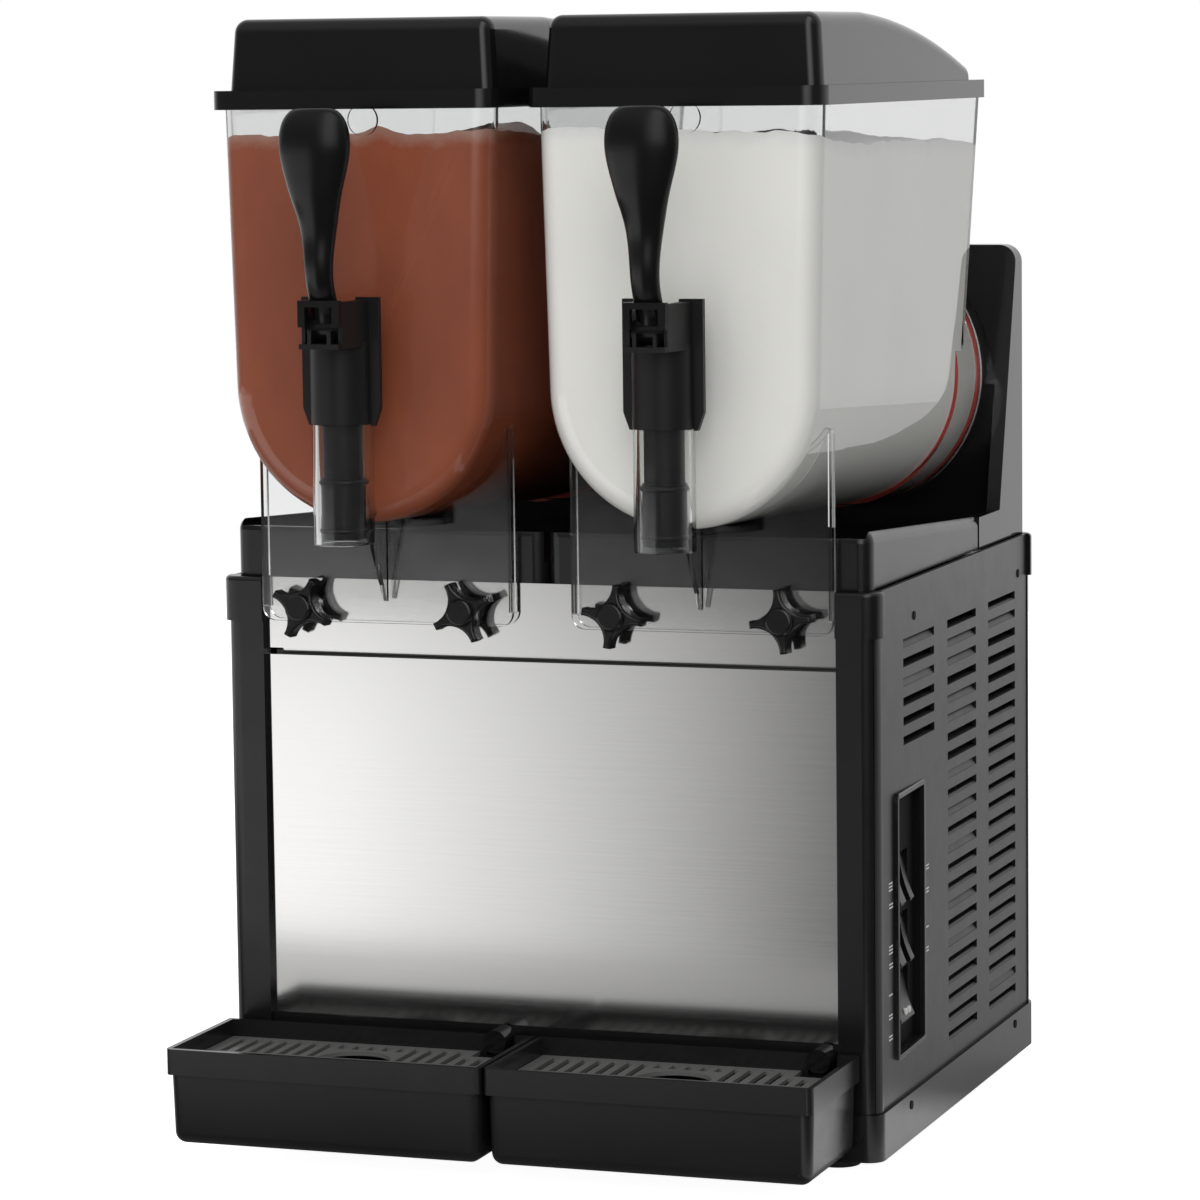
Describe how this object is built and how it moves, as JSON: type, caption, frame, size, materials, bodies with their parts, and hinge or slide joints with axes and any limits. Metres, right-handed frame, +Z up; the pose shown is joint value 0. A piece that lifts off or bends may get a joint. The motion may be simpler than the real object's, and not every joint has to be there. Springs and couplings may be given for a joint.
{
  "type": "slush machine",
  "caption": "Counter-top slush machine: clear lidded bowls with augers and lever taps over drip trays, on a black cabinet with a steel front, side louvres and rocker switches.",
  "frame": {"origin": "on the standing surface, below the middle of the machine's box", "axes": "+Z up, front towards -Y, switches on the +X side"},
  "size_m": [0.404, 0.4638, 0.6639],
  "materials": {
    "black_plastic": "satin, fine grain",
    "side_sheet": "satin black paint",
    "gloss_lid": "gloss",
    "steel_front": "fine brushed",
    "bright_steel": "smooth, turned",
    "clear_plastic": "clear, polished",
    "chocolate_slush": "wet frozen drink",
    "milk_slush": "wet frozen drink",
    "red_rubber": "soft",
    "black_rubber": "soft",
    "white_plastic": "smooth",
    "dark_paint": "satin paint",
    "fins": "thin bright sheet",
    "copper": "drawn copper tube"
  },
  "bodies": {
    "machine": {"base_pan": "black_plastic", "feet": "black_rubber", "post_front_left": "black_plastic", "post_rear_left": "black_plastic", "post_front_right": "black_plastic", "post_rear_right": "black_plastic", "rear_panel": "side_sheet", "strip_upper": "steel_front", "panel_lower": "steel_front", "bowl_studs": "bright_steel", "top_plate": "steel_front", "tower": "black_plastic", "tray_hooks": "gloss_lid", "switch_bezel": "black_plastic", "case_screws": "bright_steel", "compressor": "dark_paint", "condenser": "fins", "fan_shroud": "black_plastic", "control_box": "dark_paint", "refrigerant_lines": "copper", "power_inlet": "black_plastic", "side_panel_left": "side_sheet", "deck_pan_left": "black_plastic", "seal_left": "red_rubber", "cold_drum_left": "bright_steel", "gear_motor_left": "dark_paint", "side_panel_right": "side_sheet", "deck_pan_right": "black_plastic", "seal_right": "red_rubber", "cold_drum_right": "bright_steel", "gear_motor_right": "dark_paint"},
    "fan": {"fan_blade": "black_plastic"},
    "switch_top": {"rocker_top": "black_plastic"},
    "switch_middle": {"rocker_middle": "black_plastic"},
    "switch_low": {"rocker_low": "black_plastic"},
    "auger_left": {"auger_left": "white_plastic"},
    "bowl_left": {"bowl_left": "clear_plastic", "slush_left": "chocolate_slush", "tap_barrel_left": "black_plastic"},
    "lid_left": {"lid_left": "gloss_lid"},
    "tap_handle_left": {"tap_handle_left": "black_plastic"},
    "tap_piston_left": {"tap_piston_left": "black_plastic", "tap_spring_left": "bright_steel"},
    "drip_tray_left": {"drip_tray_left": "black_plastic"},
    "grate_left": {"grate_left": "steel_front"},
    "knob_left_outer": {"knob_left_outer": "black_plastic"},
    "knob_left_inner": {"knob_left_inner": "black_plastic"},
    "auger_right": {"auger_right": "white_plastic"},
    "bowl_right": {"bowl_right": "clear_plastic", "slush_right": "milk_slush", "tap_barrel_right": "black_plastic"},
    "lid_right": {"lid_right": "gloss_lid"},
    "tap_handle_right": {"tap_handle_right": "black_plastic"},
    "tap_piston_right": {"tap_piston_right": "black_plastic", "tap_spring_right": "bright_steel"},
    "drip_tray_right": {"drip_tray_right": "black_plastic"},
    "grate_right": {"grate_right": "steel_front"},
    "knob_right_outer": {"knob_right_outer": "black_plastic"},
    "knob_right_inner": {"knob_right_inner": "black_plastic"}
  },
  "joints": [
    {"name": "fan_spin", "type": "hinge", "parent": "machine", "child": "fan", "pos_m": [-0.006, 0.166, 0.178], "axis": [0, -1, 0], "continuous": true},
    {"name": "switch_top_rock", "type": "hinge", "parent": "machine", "child": "switch_top", "pos_m": [0.1875, -0.054, 0.1655], "axis": [0, 1, 0], "range_deg": [-9, 9]},
    {"name": "switch_middle_rock", "type": "hinge", "parent": "machine", "child": "switch_middle", "pos_m": [0.1875, -0.054, 0.1295], "axis": [0, 1, 0], "range_deg": [-9, 9]},
    {"name": "switch_low_rock", "type": "hinge", "parent": "machine", "child": "switch_low", "pos_m": [0.1875, -0.054, 0.096], "axis": [0, 1, 0], "range_deg": [-9, 9]},
    {"name": "auger_left_turn", "type": "hinge", "parent": "machine", "child": "auger_left", "pos_m": [-0.0966, 0.182, 0.4405], "axis": [0, -0.9991, 0.0419], "continuous": true},
    {"name": "bowl_left_off", "type": "slide", "parent": "machine", "child": "bowl_left", "axis": [0, -0.9991, 0.0419], "range_m": [0, 0.33]},
    {"name": "lid_left_off", "type": "slide", "parent": "bowl_left", "child": "lid_left", "axis": [0, 0, 1], "range_m": [0, 0.12]},
    {"name": "tap_handle_left_pull", "type": "hinge", "parent": "bowl_left", "child": "tap_handle_left", "pos_m": [-0.0966, -0.208, 0.489], "axis": [1, 0, 0], "range_deg": [0, 40], "stiffness_Nm_per_rad": 0.6, "springref_deg": -17.19},
    {"name": "tap_piston_left_lift", "type": "slide", "parent": "bowl_left", "child": "tap_piston_left", "axis": [0, 0, 1], "range_m": [0, 0.0128], "deforming": ["tap_spring_left"]},
    {"name": "drip_tray_left_off", "type": "slide", "parent": "machine", "child": "drip_tray_left", "axis": [0, -1, 0], "range_m": [0, 0.11]},
    {"name": "grate_left_off", "type": "slide", "parent": "drip_tray_left", "child": "grate_left", "axis": [0, 0, 1], "range_m": [0, 0.05]},
    {"name": "knob_left_outer_turn", "type": "hinge", "parent": "bowl_left", "child": "knob_left_outer", "pos_m": [-0.1471, -0.127, 0.321], "axis": [0, -0.9991, 0.0419], "continuous": true},
    {"name": "knob_left_inner_turn", "type": "hinge", "parent": "bowl_left", "child": "knob_left_inner", "pos_m": [-0.0461, -0.127, 0.321], "axis": [0, -0.9991, 0.0419], "continuous": true},
    {"name": "auger_right_turn", "type": "hinge", "parent": "machine", "child": "auger_right", "pos_m": [0.0966, 0.182, 0.4405], "axis": [0, -0.9991, 0.0419], "continuous": true},
    {"name": "bowl_right_off", "type": "slide", "parent": "machine", "child": "bowl_right", "axis": [0, -0.9991, 0.0419], "range_m": [0, 0.33]},
    {"name": "lid_right_off", "type": "slide", "parent": "bowl_right", "child": "lid_right", "axis": [0, 0, 1], "range_m": [0, 0.12]},
    {"name": "tap_handle_right_pull", "type": "hinge", "parent": "bowl_right", "child": "tap_handle_right", "pos_m": [0.0966, -0.208, 0.489], "axis": [1, 0, 0], "range_deg": [0, 40], "stiffness_Nm_per_rad": 0.6, "springref_deg": -17.19},
    {"name": "tap_piston_right_lift", "type": "slide", "parent": "bowl_right", "child": "tap_piston_right", "axis": [0, 0, 1], "range_m": [0, 0.0128], "deforming": ["tap_spring_right"]},
    {"name": "drip_tray_right_off", "type": "slide", "parent": "machine", "child": "drip_tray_right", "axis": [0, -1, 0], "range_m": [0, 0.11]},
    {"name": "grate_right_off", "type": "slide", "parent": "drip_tray_right", "child": "grate_right", "axis": [0, 0, 1], "range_m": [0, 0.05]},
    {"name": "knob_right_outer_turn", "type": "hinge", "parent": "bowl_right", "child": "knob_right_outer", "pos_m": [0.1471, -0.127, 0.321], "axis": [0, -0.9991, 0.0419], "continuous": true},
    {"name": "knob_right_inner_turn", "type": "hinge", "parent": "bowl_right", "child": "knob_right_inner", "pos_m": [0.0461, -0.127, 0.321], "axis": [0, -0.9991, 0.0419], "continuous": true}
  ],
  "couplings": [
    {"joint": "tap_piston_left_lift", "follows": "tap_handle_left_pull", "m_per_rad": 0.0178},
    {"joint": "tap_piston_right_lift", "follows": "tap_handle_right_pull", "m_per_rad": 0.0178}
  ]
}
